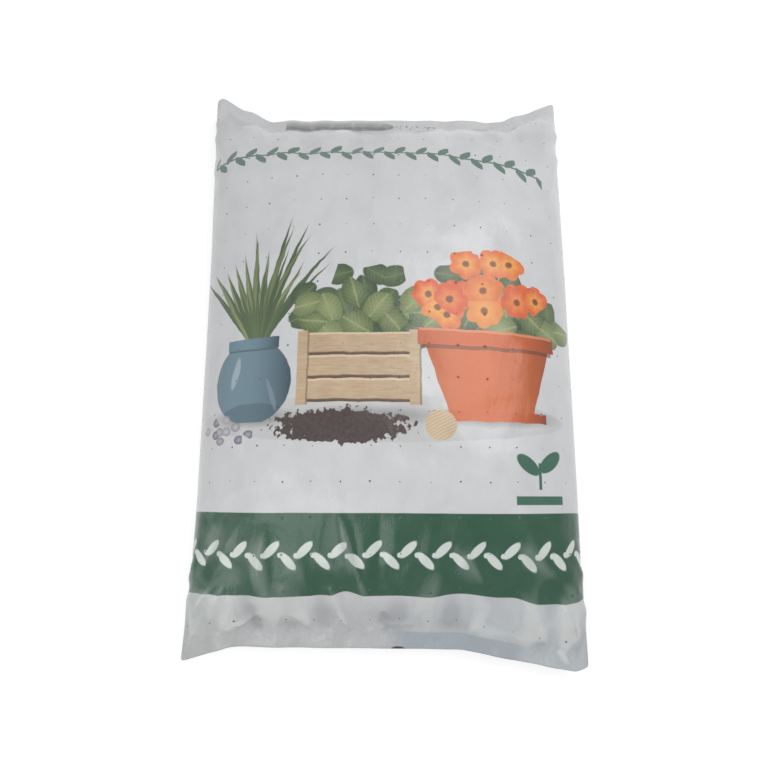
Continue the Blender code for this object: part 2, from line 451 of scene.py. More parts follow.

# %% [markdown]
# ## Creases that this bag has picked up
# The solver gives the folds that any such bag has. The sharp creases near the lower end come from
# handling, so they are listed one by one, each as a line on the flat film with a height and a
# width.
# A ridge lifts the film and a dent has a height below zero. Where a crease takes up film, it pulls
# the print along, which makes the edge of the green band wave. Noise does the rest: crumbly compost
# shows through as low lumps, and towards both ends the film is gathered and crumpled.

# %% Creases and tugs
# start and end on the film (two numbers each), height, half width: all in millimetres
CREASES = [
    (-34, -150, -12, -220, 2.8, 2.4), (-34, -150, -24, -200, 1.8, 2.2),
    (-24, -156, -16, -206, -1.8, 3.5), (-2, -150, -3, -212, -1.5, 4.0),
    (-124, -147, -157, -208, -2.6, 5.0), (-112, -150, -146, -212, 1.8, 4.5),
    (-92, -158, -104, -214, 1.5, 5.5), (-66, -190, -52, -226, 1.2, 5.0),
    (-42, -208, -26, -250, 3.0, 2.6), (1, -228, 5, -253, -2.6, 2.6),
    (-14, -250, 30, -240, 1.4, 3.0), (14, -252, 36, -212, 1.3, 6.0),
    (36, -226, 48, -178, 1.2, 6.0), (58, -176, 86, -212, 1.9, 4.5),
    (76, -170, 104, -204, -1.6, 5.0), (100, -172, 166, -216, 1.9, 5.5),
    (118, -158, 176, -204, -2.0, 5.0), (108, -206, 146, -252, 1.8, 4.5),
    (140, -206, 172, -244, 3.2, 2.6), (150, -250, 164, -260, 2.2, 2.6),
    (-136, -250, -96, -226, 2.0, 3.0), (-150, -236, -130, -206, 2.4, 3.0),
    (158, -252, 150, -214, 1.4, 4.0), (-108, -220, -104, -254, -3.2, 5.0),
    (-90, -252, -78, -204, 1.6, 5.0), (-184, -264, -148, -210, 3.2, 2.8),
    (-168, -232, -124, -194, 1.8, 6.0), (-140, -250, -120, -214, 1.6, 5.0),
    (-62, -252, -60, -214, 1.2, 5.0), (70, -252, 86, -218, 1.3, 4.0),
    (-140, -142, -96, -128, 0.9, 6.0), (30, -146, 64, -132, 0.7, 6.0),
    (-64, 66, -26, -40, 0.9, 6.0), (-150, -40, -118, -96, 0.9, 7.0), (18, 84, 38, 2, 0.7, 7.0),
    (-160, -110, -152, 60, -1.0, 7.0), (150, 120, 160, 10, -0.8, 7.0),
    (-140, 160, -96, 128, 0.8, 8.0), (-146, 250, -104, 196, 1.9, 5.0),
    (-176, 258, -140, 214, -1.6, 5.0), (-36, 250, -34, 212, 1.0, 5.0),
    (20, 250, 28, 214, 0.9, 5.0), (78, 252, 64, 208, 1.5, 4.5), (84, 250, 128, 246, 1.6, 3.0),
    (146, 252, 108, 196, 1.9, 4.5),
]
# middle on the film, radius, pull towards the top: all in millimetres
TUGS = [
    ((-156, -212), 22, 3.5),
    ((-29, -213), 9, 3.5),
    ((70, -211), 18, 3.0),
    ((106, -209), 17, 5.0),
    ((154, -211), 24, 3.5),
]


def crease(u, v, *numbers):
    """Height of one crease, which fades out at both ends."""
    start, end, (height, width) = np.array(numbers).reshape(3, 2) * MM
    run = end - start
    along = ((u - start[0]) * run[0] + (v - start[1]) * run[1]) / (run @ run)
    across = ((u - start[0]) * -run[1] + (v - start[1]) * run[0]) / math.hypot(*run)
    fade = np.sin(np.pi * np.clip(along, 0, 1)) ** 0.6
    return height * fade * np.exp(-np.abs(across / width) ** 1.3)


def tug(u, v, middle, radius, pull):
    """How far one crease pulls the film lengthways."""
    away = ((u - middle[0] * MM) ** 2 + (v - middle[1] * MM) ** 2) / (radius * MM) ** 2
    return pull * MM * np.exp(-away)


# %% Lumps, gathers and crumples
LUMPS = ((0.045, 0.0014), (0.019, 0.0006))  # size and height
GATHER = (0.022, 0.075, 0.0025)  # width and length of a gather, and its height
CRUMPLE = (0.026, 0.0022)
SIDE_KEPT = 0.020  # beside a side fold the film keeps its line
WELD_KEPT = (0.008, 0.022)  # no relief this far outside the weld, all of it this much further in
END_FROM = (0.125, 0.085)  # gathers begin this far from the middle and are whole this much later
SIDEWAYS = 0.25  # a crease moves the film up and down more than sideways


def noise_at(film, width, length, layer):
    """Smooth noise between -1 and 1 at every place of the film."""
    return np.array([noise.noise((a / width, b / length, layer)) for a, b in film])


def uneven_film(film):
    """Height of the film's lumps, gathers and crumples."""
    v = abs(film[:, 1])
    off_weld = eased((WELD_TO_WELD / 2 + WELD_KEPT[0] - v) / WELD_KEPT[1])
    at_end = eased((v - END_FROM[0]) / END_FROM[1])
    rise = sum(tall * noise_at(film, size, size, k) for k, (size, tall) in enumerate(LUMPS))
    rise += GATHER[2] * noise_at(film, GATHER[0], GATHER[1], 5.5) * at_end
    ridges = 0.3 - np.abs(noise_at(film, CRUMPLE[0], CRUMPLE[0] * 1.6, 9.5))
    return (rise + CRUMPLE[1] * ridges * (0.12 + at_end)) * off_weld


def crease_film(mesh):
    """Moves the film along its normals by creases and lumps, and lengthways by the tugs."""
    count = len(mesh.vertices)
    place = np.zeros((count, 3))
    mesh.vertices.foreach_get("co", place.ravel())
    outwards = np.zeros((count, 3), np.float32)
    mesh.vertex_normals.foreach_get("vector", outwards.ravel())
    outwards[:, 0] *= SIDEWAYS
    corners = np.zeros(len(mesh.loops), int)
    mesh.loops.foreach_get("vertex_index", corners)
    uvs = np.zeros((len(mesh.loops), 2), np.float32)
    mesh.uv_layers["film"].uv.foreach_get("vector", uvs.ravel())
    film = np.zeros((count, 2))
    film[corners] = uvs
    u, v = film.T
    rise = sum(crease(u, v, *line) for line in CREASES) + uneven_film(film)
    rise *= eased((FILM_WIDTH / 2 - abs(u)) / SIDE_KEPT)
    place += outwards * rise[:, None]
    place[:, 1] += sum(tug(u, v, *one) for one in TUGS)
    left, right = (side * on_line(SIDE_LINES[side], place[:, 1]) for side in (-1, 1))
    place[:, 0] = np.clip(place[:, 0], left, right)
    place[:, 2] = np.maximum(place[:, 2], 0)
    mesh.vertices.foreach_set("co", place.ravel())
    mesh.attributes.new("lift", "FLOAT", "POINT").data.foreach_set("value", rise / MM)
    mesh.update()
    print("the film's relief runs from", *np.round([rise.min() * 1000, rise.max() * 1000], 2), "mm")


crease_film(bag.data)

# %% [markdown]
# ## Pin pricks by Geometry Nodes
# A roller with needles pricks the film, so that air can leave when bags are stacked. The pricks
# lie in a plain grid on the flat film, through front and back. They could be dots in the material,
# but a real prick has a small burr that catches the light, so each one is a tiny flat cone with a
# grey top. The tree below makes a flat grid of points, looks up where each point lies on the bag
# through the "film" map, and puts a cone there that stands out along the film's normal. Each cone
# keeps its place on the film as its own "film" map, so it takes the colour of the print there.
# Where the bag lies on the floor the burrs are pressed flat, so none are made.

# %% The pricking tree
ROW_PITCH = 0.0276
COLUMN_PITCH = 0.0233
FIRST_PRICK = (-0.1723, -0.2375)  # lowest prick at the left, on the flat film
PRICK_RADIUS = 0.0008
BURR_HEIGHT = 0.0002
FLAT_BELOW = 0.0006  # height above the floor under which no burr stands


def node(tree, kind, links=None, **settings):
    """Adds a node, sets its properties, and links or fills its inputs by name or number."""
    made = tree.nodes.new(kind)
    for key, value in settings.items():
        setattr(made, key, value)
    for key, value in (links or {}).items():
        if isinstance(value, Ink):
            value = value.socket
        if isinstance(value, bpy.types.Node):
            value = value.outputs[0]
        if isinstance(value, bpy.types.NodeSocket):
            tree.links.new(value, made.inputs[key])
        else:
            made.inputs[key].default_value = value
    return made


def prick_tree(film_material, hole_material):
    """Geometry Nodes that prick a grid of holes through the film of a bag."""
    tree = bpy.data.node_groups.new("pin pricks", "GeometryNodeTree")
    face = tree.interface
    face.new_socket("Geometry", in_out="INPUT", socket_type="NodeSocketGeometry")
    for name, kind in (("Columns", "Int"), ("Rows", "Int"), ("Column Pitch", "Float"),
                       ("Row Pitch", "Float"), ("Radius", "Float"), ("Burr Height", "Float"),
                       ("Unevenness", "Float"), ("Seed", "Int")):
        face.new_socket(name, in_out="INPUT", socket_type="NodeSocket" + kind)
    face.new_socket("First Prick", in_out="INPUT", socket_type="NodeSocketVector")
    face.new_socket("Geometry", in_out="OUTPUT", socket_type="NodeSocketGeometry")
    given = tree.nodes.new("NodeGroupInput").outputs

    def add(kind, links=None, **settings):
        return node(tree, kind, links, **settings)

    width, length = (
        (Ink(tree, given[count]) - 1.0) * Ink(tree, given[pitch])
        for count, pitch in (("Columns", "Column Pitch"), ("Rows", "Row Pitch"))
    )
    grid = add("GeometryNodeMeshGrid", {
        "Size X": width, "Size Y": length,
        "Vertices X": given["Columns"], "Vertices Y": given["Rows"],
    })
    size = add("ShaderNodeCombineXYZ", {"X": width, "Y": length})
    middle = vector_math(tree, "MULTIPLY", size, (0.5, 0.5, 0))
    shift = vector_math(tree, "ADD", middle, given["First Prick"])
    front = add("GeometryNodeTransform", {"Geometry": grid, "Translation": shift})
    back = add("GeometryNodeTransform", {"Geometry": front, "Translation": (BACK_SHIFT, 0, 0)})
    both = add("GeometryNodeJoinGeometry")
    for half in (front, back):
        tree.links.new(half.outputs[0], both.inputs[0])
    low, high = (
        vector_math(tree, "MULTIPLY", given["Unevenness"], (side, side, 0)) for side in (-1, 1)
    )
    shake = add("FunctionNodeRandomValue", {0: low, 1: high, "Seed": given["Seed"]},
                data_type="FLOAT_VECTOR")
    flat = add("GeometryNodeSetPosition", {"Geometry": both, "Offset": shake})
    position = add("GeometryNodeInputPosition").outputs[0]
    kept = add("GeometryNodeCaptureAttribute", {"Geometry": flat})
    kept.capture_items.new("VECTOR", "film place")
    tree.links.new(position, kept.inputs[1])
    film_place = kept.outputs[1]
    film_map = add("GeometryNodeInputNamedAttribute", {"Name": "film"}, data_type="FLOAT_VECTOR")

    def on_bag(value):
        sampled = add("GeometryNodeSampleUVSurface", data_type="FLOAT_VECTOR")
        for socket, source in (("Mesh", given["Geometry"]), ("Value", value),
                               ("Source UV Map", film_map.outputs[0]), ("Sample UV", film_place)):
            tree.links.new(source, sampled.inputs[socket])
        return sampled

    place, outwards = on_bag(position), on_bag(add("GeometryNodeInputNormal").outputs[0])
    missed = add("FunctionNodeBooleanMath", {0: place.outputs["Is Valid"]}, operation="NOT")
    height = add("ShaderNodeSeparateXYZ", {0: place}).outputs[2]
    pressed = add("FunctionNodeCompare", {"A": height, "B": FLAT_BELOW}, operation="LESS_THAN")
    left_out = add("FunctionNodeBooleanMath", {0: missed, 1: pressed}, operation="OR")
    pricked = add("GeometryNodeDeleteGeometry", {"Geometry": kept, "Selection": left_out},
                  domain="POINT")
    pricked = add("GeometryNodeSetPosition", {"Geometry": pricked, "Position": place})
    wide = Ink(tree, given["Radius"]) * 1.9
    cone = add("GeometryNodeMeshCone", {"Vertices": 8, "Radius Top": given["Radius"],
                                        "Radius Bottom": wide, "Depth": given["Burr Height"]})
    marked = add("GeometryNodeStoreNamedAttribute",
                 {"Geometry": cone.outputs["Mesh"], "Name": "hole", "Value": cone.outputs["Top"]},
                 data_type="BOOLEAN", domain="FACE")
    turn = add("FunctionNodeAlignRotationToVector", {"Vector": outwards}, axis="Z")
    scale = add("FunctionNodeRandomValue", {2: 0.5, 3: 1.1, "Seed": given["Seed"]},
                data_type="FLOAT")
    cones = add("GeometryNodeInstanceOnPoints", {"Points": pricked, "Instance": marked,
                                                 "Rotation": turn, "Scale": scale.outputs[1]})
    placed = add("GeometryNodeRealizeInstances", {"Geometry": cones})
    mapped = add("GeometryNodeStoreNamedAttribute",
                 {"Geometry": placed, "Name": "film", "Value": film_place},
                 data_type="FLOAT2", domain="CORNER")
    coated = add("GeometryNodeSetMaterial", {"Geometry": mapped, "Material": film_material})
    hole = add("GeometryNodeInputNamedAttribute", {"Name": "hole"}, data_type="BOOLEAN")
    holed = add("GeometryNodeSetMaterial",
                {"Geometry": coated, "Selection": hole, "Material": hole_material})
    add("NodeGroupOutput", {0: holed})
    return tree


# %% [markdown]
# ## A print made of sums
# The print could be an image, but an image has one size and blurs close up. Here it is worked out
# by the material at every point, from the film's own coordinates: a leaf is where two sums are
# under a limit. The class below lets a script write such sums as plain arithmetic. Each plus or
# times adds one Math node, so the node tree is exactly what the expression says.

# %% Ink: arithmetic that becomes nodes
class Ink:
    """A number that the material works out at every point of the film."""

    def __init__(self, tree, socket):
        self.tree = tree
        self.socket = socket

    def math(self, operation, *others, clamp=False):
        numbers = dict(enumerate((self, *others)))
        made = node(self.tree, "ShaderNodeMath", numbers, operation=operation, use_clamp=clamp)
        return Ink(self.tree, made.outputs[0])

    def __add__(self, other):
        return self.math("ADD", other)

    def __sub__(self, other):
        return self.math("SUBTRACT", other)

    def __mul__(self, other):
        return self.math("MULTIPLY", other)

    def __truediv__(self, other):
        return self.math("DIVIDE", other)

    def __abs__(self):
        return self.math("ABSOLUTE")

    def __or__(self, other):
        """The larger of two numbers, and so the union of two shapes."""
        return self.math("MAXIMUM", other)

    def ramp(self, slope, start):
        """The number times the slope plus the start, kept between 0 and 1."""
        return self.math("MULTIPLY_ADD", slope, start, clamp=True)

    def over(self, limit):
        """1 where the number is over the limit, else 0."""
        return self.math("GREATER_THAN", limit)

    def under(self, limit, soft=0.5):
        """1 where the number is under the limit, 0 where it is over, with an edge this soft."""
        if isinstance(limit, Ink):
            return (limit - self).ramp(1 / soft, 0.5)
        return self.ramp(-1 / soft, limit / soft + 0.5)


def length_of(a, b):
    """Distance from zero of a place given by two numbers."""
    return (a * a + b * b).math("SQRT")


def vector_math(tree, operation, first, second):
    """One Vector Math node."""
    return node(tree, "ShaderNodeVectorMath", {0: first, 1: second}, operation=operation)


def scaled(u, v, size):
    """The place as a vector for a texture node, counted in cells of this size."""
    joined = node(u.tree, "ShaderNodeCombineXYZ", {"X": u, "Y": v})
    return vector_math(u.tree, "MULTIPLY", joined, (1 / size, 1 / size, 0))


def from_middle(u, v, middle, size):
    """Distance from a middle, counted so that it is 1 on the rim of an ellipse of this size."""
    return length_of((u - middle[0]) / size[0], (v - middle[1]) / size[1])


def turned(u, v, angle):
    """The same place, read on axes that are turned by an angle in degrees."""
    c, s = math.cos(math.radians(angle)), math.sin(math.radians(angle))
    return u * c + v * s, v * c - u * s


# %% Simple shapes, in millimetres of film
def disc(u, v, middle, size, lean=0.0):
    """A filled ellipse."""
    a, b = turned(u - middle[0], v - middle[1], lean)
    return length_of(a / size[0], b / size[1]).under(1.0, 0.7 / min(size))


def slab(u, v, middle, size, lean=0.0):
    """A filled rectangle, given by half its width and half its height."""
    a, b = turned(u - middle[0], v - middle[1], lean)
    return ((abs(a) - size[0]) | (abs(b) - size[1])).under(0.0)


def tub(u, v, middle, half_width, height, flare):
    """A pot seen from the side. It gets wider by flare for each millimetre upwards."""
    rise = v - middle[1]
    width = rise * flare + half_width
    return ((abs(u - middle[0]) - width) | (abs(rise) - height)).under(0.0)


def roundness(u, middle, half_width):
    """0 in the middle of a round body and 1 at its sides, for its shading."""
    side = (u - middle) / half_width
    return (side * side).math("MINIMUM", 1.0)


def bed(u, v, cell):
    """A bed of equal motifs: the place inside each, its middle and three random numbers."""
    place = scaled(u, v, cell)
    cells = node(u.tree, "ShaderNodeTexVoronoi", {"Vector": place, "Scale": 1.0, "Randomness": 0.8},
                 voronoi_dimensions="2D")
    apart = vector_math(u.tree, "SUBTRACT", place, cells.outputs["Position"])
    inner = node(u.tree, "ShaderNodeSeparateXYZ", {0: apart}).outputs
    middle = node(u.tree, "ShaderNodeSeparateXYZ", {0: cells.outputs["Position"]}).outputs
    chance = node(u.tree, "ShaderNodeSeparateColor", {0: cells.outputs["Color"]}).outputs
    return {
        "a": Ink(u.tree, inner[0]), "b": Ink(u.tree, inner[1]),
        "mu": Ink(u.tree, middle[0]) * cell, "mv": Ink(u.tree, middle[1]) * cell,
        "chance": [Ink(u.tree, chance[k]) for k in range(3)],
    }


def speckle(u, v, size, detail=3.0):
    """Soft random mottling between 0 and 1."""
    links = {"Vector": scaled(u, v, size), "Scale": 1.0, "Detail": detail}
    made = node(u.tree, "ShaderNodeTexNoise", links, noise_dimensions="2D")
    return Ink(u.tree, made.outputs[0])


# %% Colours and the layers of the print
def seen(red, green, blue):
    """A colour as a screen shows it, 0 to 255, turned into the linear values that Blender mixes."""
    parts = (part / 255 for part in (red, green, blue))
    return (*(p / 12.92 if p <= 0.04045 else ((p + 0.055) / 1.055) ** 2.4 for p in parts), 1.0)


FILM_WHITE = seen(213, 213, 214)
DULL_WHITE = seen(200, 202, 204)
BAND_GREEN = seen(12, 68, 44)
SOFT_GREEN = seen(98, 122, 112)
DEEP_GREEN = seen(52, 98, 78)


def blend(tree, share, first, second):
    """A mix of two colours: the first where the share is 0, the second where it is 1."""
    return node(tree, "ShaderNodeMix", {0: share, 6: first, 7: second}, data_type="RGBA").outputs[2]


class Print:
    """The printed film: every layer of ink goes over what is there already."""

    def __init__(self, tree, ground):
        self.tree = tree
        self.colour = ground

    def lay(self, mask, ink, *more):
        """Lays ink where the mask is 1. With a share and a second ink, it is a blend."""
        if more:
            ink = blend(self.tree, more[0], ink, more[1])
        self.colour = blend(self.tree, mask, self.colour, ink)


# %% [markdown]
# ## What is printed
# The print is generic and has no words. A garland runs across the top, a garden still life fills
# the middle, a sprig with a plain bar stands at the right above the green band, and a row of white
# leaves runs along the band. All places are millimetres on the flat film, from its middle.

# %% Garland, band and small marks
GARLAND_TOP = 181.0
GARLAND_MIDDLE = -25.0
GARLAND_BOW = (0.0002, 0.00086)  # drop for each square millimetre to the left and to the right
BAND = (-214.0, -151.0)
BAND_MOTIFS = -183.0


def leaf_row(u, v, pitch, size, lean):
    """A row of leaves that lean up and down by turns along v = 0."""
    place = u / pitch
    cell = place.math("FLOOR")
    inside = (place - cell - 0.5) * pitch
    sign = (cell / 2).math("FRACT").over(0.25) * 2 - 1.0
    side = v * sign
    return disc(inside, side, (0.0, size[1] * 1.25), size, lean)


def print_garland(sheet, u, v):
    """A bowed garland of small leaves on a thin stem."""
    left = (u - GARLAND_MIDDLE).math("MINIMUM", 0.0)
    right = (u - GARLAND_MIDDLE).math("MAXIMUM", 0.0)
    arc = v - GARLAND_TOP + left * left * GARLAND_BOW[0] + right * right * GARLAND_BOW[1]
    reach = abs(u + 10.0).under(156.0)
    stem = abs(arc).under(0.9, 0.5)
    leaves = leaf_row(u, arc, 10.0, (8.2, 3.3), 44.0)
    sheet.lay((stem | leaves) * reach, SOFT_GREEN)


def print_band(sheet, u, v):
    """The green band, with its row of white leaves and dots. It runs round the whole bag."""
    half = (BAND[1] - BAND[0]) / 2
    worn = speckle(u, v, 16.0) * 0.3
    sheet.lay(abs(v - (BAND[0] + half)).under(half, 0.6), BAND_GREEN, worn, seen(70, 112, 94))
    row = v - BAND_MOTIFS
    leaves = leaf_row(u, row, 13.5, (8.6, 3.3), 42.0)
    place = u / 13.5
    dot_side = (place - place.math("ROUND")) * 13.5
    dots = length_of(dot_side, row).under(1.9, 0.5)
    sheet.lay(leaves | dots, seen(206, 214, 210))


def print_sprig(sheet, u, v):
    """A sprig with a plain bar below it, at the right above the band."""
    left_leaf = disc(u, v, (116.5, -113.0), (12.0, 5.6), -38.0)
    right_leaf = disc(u, v, (137.5, -110.5), (13.0, 6.0), 36.0)
    stem = slab(u, v, (127.0, -122.0), (1.3, 10.5))
    bar = slab(u, v, (127.0, -141.0), (21.5, 3.4))
    sheet.lay(left_leaf | right_leaf | stem | bar, DEEP_GREEN)


def print_marks(sheet, u, v):
    """Worn bar, scuffs and a painted crease shadow at the top edge; the cutter's mark at the lower.
    """
    worn = speckle(u, v, 9.0).under(0.60, 0.25)
    depth = v.ramp(-1 / 9, 262 / 9)
    bar = slab(u, v, (-47.0, 254.5), (57.0, 7.0)) * disc(u, v, (-52.0, 254.0), (62.0, 12.0))
    bar = bar * (worn * 0.25 + depth * 0.5 + 0.2)
    sheet.lay(bar, seen(152, 157, 154), depth, seen(112, 118, 116))
    scuffs = speckle(u, v, 3.6, 1.0).over(0.57)
    patches = disc(u, v, (24.0, 254.0), (13.0, 4.0)) | disc(u, v, (47.0, 253.5), (7.0, 3.6))
    sheet.lay(patches * scuffs * 0.6, seen(120, 124, 124))
    # A painted shadow along a crease near the right of the top edge.
    sheet.lay(disc(u, v, (104.0, 246.0), (22.0, 3.5)) * 0.35, seen(140, 144, 144))
    sheet.lay(disc(u, v, (13.0, -264.4), (5.5, 2.0)), seen(50, 54, 56))


# %% [markdown]
# ## The picture
# Each thing in it is two or three simple shapes with a shade across it. What comes in numbers is
# drawn once: a Voronoi texture cuts the film into cells, and the same flower is drawn in each cell,
# with that cell's own tint. Leaves of a tuft are one leaf in polar coordinates, repeated by angle.

# %% The picture's colours, and one leaf or flower for a whole bed
TERRACOTTA = (seen(206, 100, 44), seen(134, 58, 28))
SLATE = (seen(112, 138, 150), seen(58, 76, 88))
CREAM = (seen(218, 198, 168), seen(172, 144, 112))
SOIL = (seen(88, 74, 70), seen(42, 36, 36))
GREENS = (seen(148, 158, 110), seen(70, 90, 58))
DARK_GREENS = (seen(102, 120, 84), seen(44, 62, 44))
SHADE = seen(70, 66, 62)


def print_tuft(sheet, u, v, root, count, lengths, width, inks, twist=0.0):
    """Sword leaves that fan out from one root."""
    a, b = u - root[0], v - root[1]
    reach = length_of(a, b)
    step = 1.9 / count
    angle = a.math("ARCTAN2", b) * (reach * -0.0022 + 1.12) + twist
    number = (angle / step).math("ROUND")
    noise_node = node(u.tree, "ShaderNodeTexWhiteNoise", {"W": number}, noise_dimensions="1D")
    chance = Ink(u.tree, noise_node.outputs[0])
    long = chance * (lengths[1] - lengths[0]) + lengths[0]
    side = abs(angle - number * step) * reach
    share = reach / long
    broad = share * share * -width + width
    mask = side.under(broad, 0.6) * abs(number).under(count * 0.31, 0.1) * b.over(0.0)
    rib = (side / width).math("MINIMUM", 1.0) * 0.35
    sheet.lay(mask, inks[0], share * 0.4 + chance * 0.4 + rib, inks[1])


def print_foliage(sheet, u, v, middle, size, cell, inks):
    """A mound of round leaves, each with a lighter rib."""
    leaves = bed(u, v, cell)
    inside = from_middle(leaves["mu"], leaves["mv"], middle, size)
    a, b = leaves["a"], leaves["b"]
    spin = leaves["chance"][0] * 6.2832
    c, s = spin.math("COSINE"), spin.math("SINE")
    along, across = a * c + b * s, b * c - a * s
    shape = length_of(along, across * 1.3)
    rib = abs(across).under(0.035, 0.04) * 0.5
    veins = ((along - abs(across) * 0.8) * 5.5).math("FRACT").under(0.16, 0.1) * 0.22
    mask = shape.under(0.66, 0.06) * inside.under(1.0, 0.01)
    shade = shape * 0.85 + leaves["chance"][1] * 0.5 - rib - veins
    sheet.lay(mask, inks[0], shade.ramp(1.0, 0.0), inks[1])


def print_undergrowth(sheet, u, v, middle, size, ink):
    """The ragged darkness between the leaves of a mound."""
    ragged = from_middle(u, v, middle, size) + speckle(u, v, 9.0) * 0.7
    sheet.lay(ragged.under(1.25, 0.1), ink, speckle(u, v, 4.0), SHADE)


def print_flowers(sheet, u, v, middle, size, cell, heart, petal, tip):
    """A bed of open flowers with rounded petals."""
    flowers = bed(u, v, cell)
    inside = from_middle(flowers["mu"], flowers["mv"], middle, size)
    reach = length_of(flowers["a"], flowers["b"])
    angle = flowers["a"].math("ARCTAN2", flowers["b"]) + flowers["chance"][0] * 6.2832
    edge = abs((angle * 3.0).math("COSINE")) * 0.12 + 0.47
    mask = reach.under(edge, 0.04) * inside.under(1.0, 0.01)
    sheet.lay(mask, tip, (reach * 2.3).math("MINIMUM", 1.0), petal)
    gap = abs((angle * 3.0).math("SINE")) * 0.6
    sheet.lay(mask * gap * (reach * 2.0), seen(196, 66, 44))
    sheet.lay(mask * flowers["chance"][1] * 0.45, seen(238, 186, 84))
    sheet.lay(mask * reach.under(0.12, 0.06), heart)


# %% The pots, the crate and what lies on the ground
def print_body(sheet, mask, u, lit, half_width, inks):
    """Lays a round thing's two colours: light where the lamp stands, dark at its sides."""
    sheet.lay(mask, inks[0], roundness(u, lit, half_width), inks[1])


def print_jug(sheet, u, v):
    """The round blue jug at the left."""
    belly = disc(u, v, (-112.0, -46.0), (37.0, 36.0)) * (v + 80.0).over(0.0)
    print_body(sheet, belly, u, -124.0, 48.0, SLATE)
    sheet.lay(belly * disc(u, v, (-108.0, -86.0), (40.0, 22.0)) * 0.4, SLATE[1])
    print_body(sheet, slab(u, v, (-112.0, -13.0), (25.0, 5.0)), u, -120.0, 32.0, SLATE)
    sheet.lay(slab(u, v, (-112.0, -18.6), (24.0, 0.8)) * 0.6, SLATE[1])
    sheet.lay(disc(u, v, (-127.0, -38.0), (3.4, 14.0), -12.0) * 0.5, seen(188, 202, 210))
    sheet.lay(disc(u, v, (-92.0, -58.0), (2.0, 14.0), 18.0) * 0.25, seen(170, 186, 196))


def print_crate(sheet, u, v):
    """The wooden crate in the middle."""
    crate = slab(u, v, (-20.0, -36.0), (50.0, 29.0))
    grain = (speckle(u / 9.0, v, 1.6) * 0.7 + speckle(u, v, 40.0) * 0.5).ramp(1.0, 0.0)
    sheet.lay(crate, CREAM[0], grain, CREAM[1])
    plank = ((v + 65.0) / 19.4).math("FRACT")
    sheet.lay(crate * plank.under(0.13, 0.06), seen(96, 78, 62))
    sheet.lay(crate * plank.over(0.9) * 0.5, seen(232, 216, 190))
    for post in (-66.0, 26.0):
        sheet.lay(slab(u, v, (post, -36.0), (4.6, 31.0)), CREAM[0], grain, CREAM[1])
        sheet.lay(slab(u, v, (post + 4.4, -36.0), (0.8, 31.0)) * 0.6, seen(104, 84, 66))


def print_pot(sheet, u, v):
    """The terracotta pot at the right, with its rim and saucer."""
    body = tub(u, v, (88.0, -44.0), 45.0, 32.0, 0.32)
    print_body(sheet, body, u, 78.0, 62.0, TERRACOTTA)
    sheet.lay(body * speckle(u, v, 26.0) * 0.25, seen(222, 138, 84))
    rim = slab(u, v, (88.0, -10.0), (60.0, 7.0))
    print_body(sheet, rim, u, 76.0, 74.0, TERRACOTTA)
    sheet.lay(slab(u, v, (88.0, -4.2), (59.0, 1.1)) * 0.5, seen(226, 164, 128))
    sheet.lay(slab(u, v, (88.0, -18.6), (57.0, 1.7)) * 0.7, seen(100, 50, 36))
    print_body(sheet, slab(u, v, (88.0, -75.5), (48.0, 4.0)), u, 78.0, 60.0, TERRACOTTA)


def print_ground_things(sheet, u, v):
    """A heap of soil, a ball of twine and a few pebbles."""
    crumbs = speckle(u, v, 3.2)
    heap = from_middle(u, v, (-34.0, -84.0), (60.0, 15.0)) + (speckle(u, v, 5.0) - 0.5) * 0.9
    sheet.lay(heap.under(0.9, 0.06), SOIL[0], crumbs, SOIL[1])
    strands = (turned(u, v, 28.0)[1] / 2.4).math("FRACT")
    ball = disc(u, v, (46.0, -83.0), (12.5, 12.0))
    sheet.lay(ball, CREAM[0], strands * 0.6 + roundness(u, 42.0, 17.0) * 0.4, CREAM[1])
    pebbles = bed(u, v, 9.0)
    stone = length_of(pebbles["a"], pebbles["b"] * 1.3)
    pile = from_middle(pebbles["mu"], pebbles["mv"], (-134.0, -86.0), (30.0, 9.0))
    sheet.lay(stone.under(0.52, 0.08) * pile.under(1.0, 0.01), seen(206, 202, 206),
              stone + pebbles["chance"][0] * 0.5, seen(96, 92, 116))


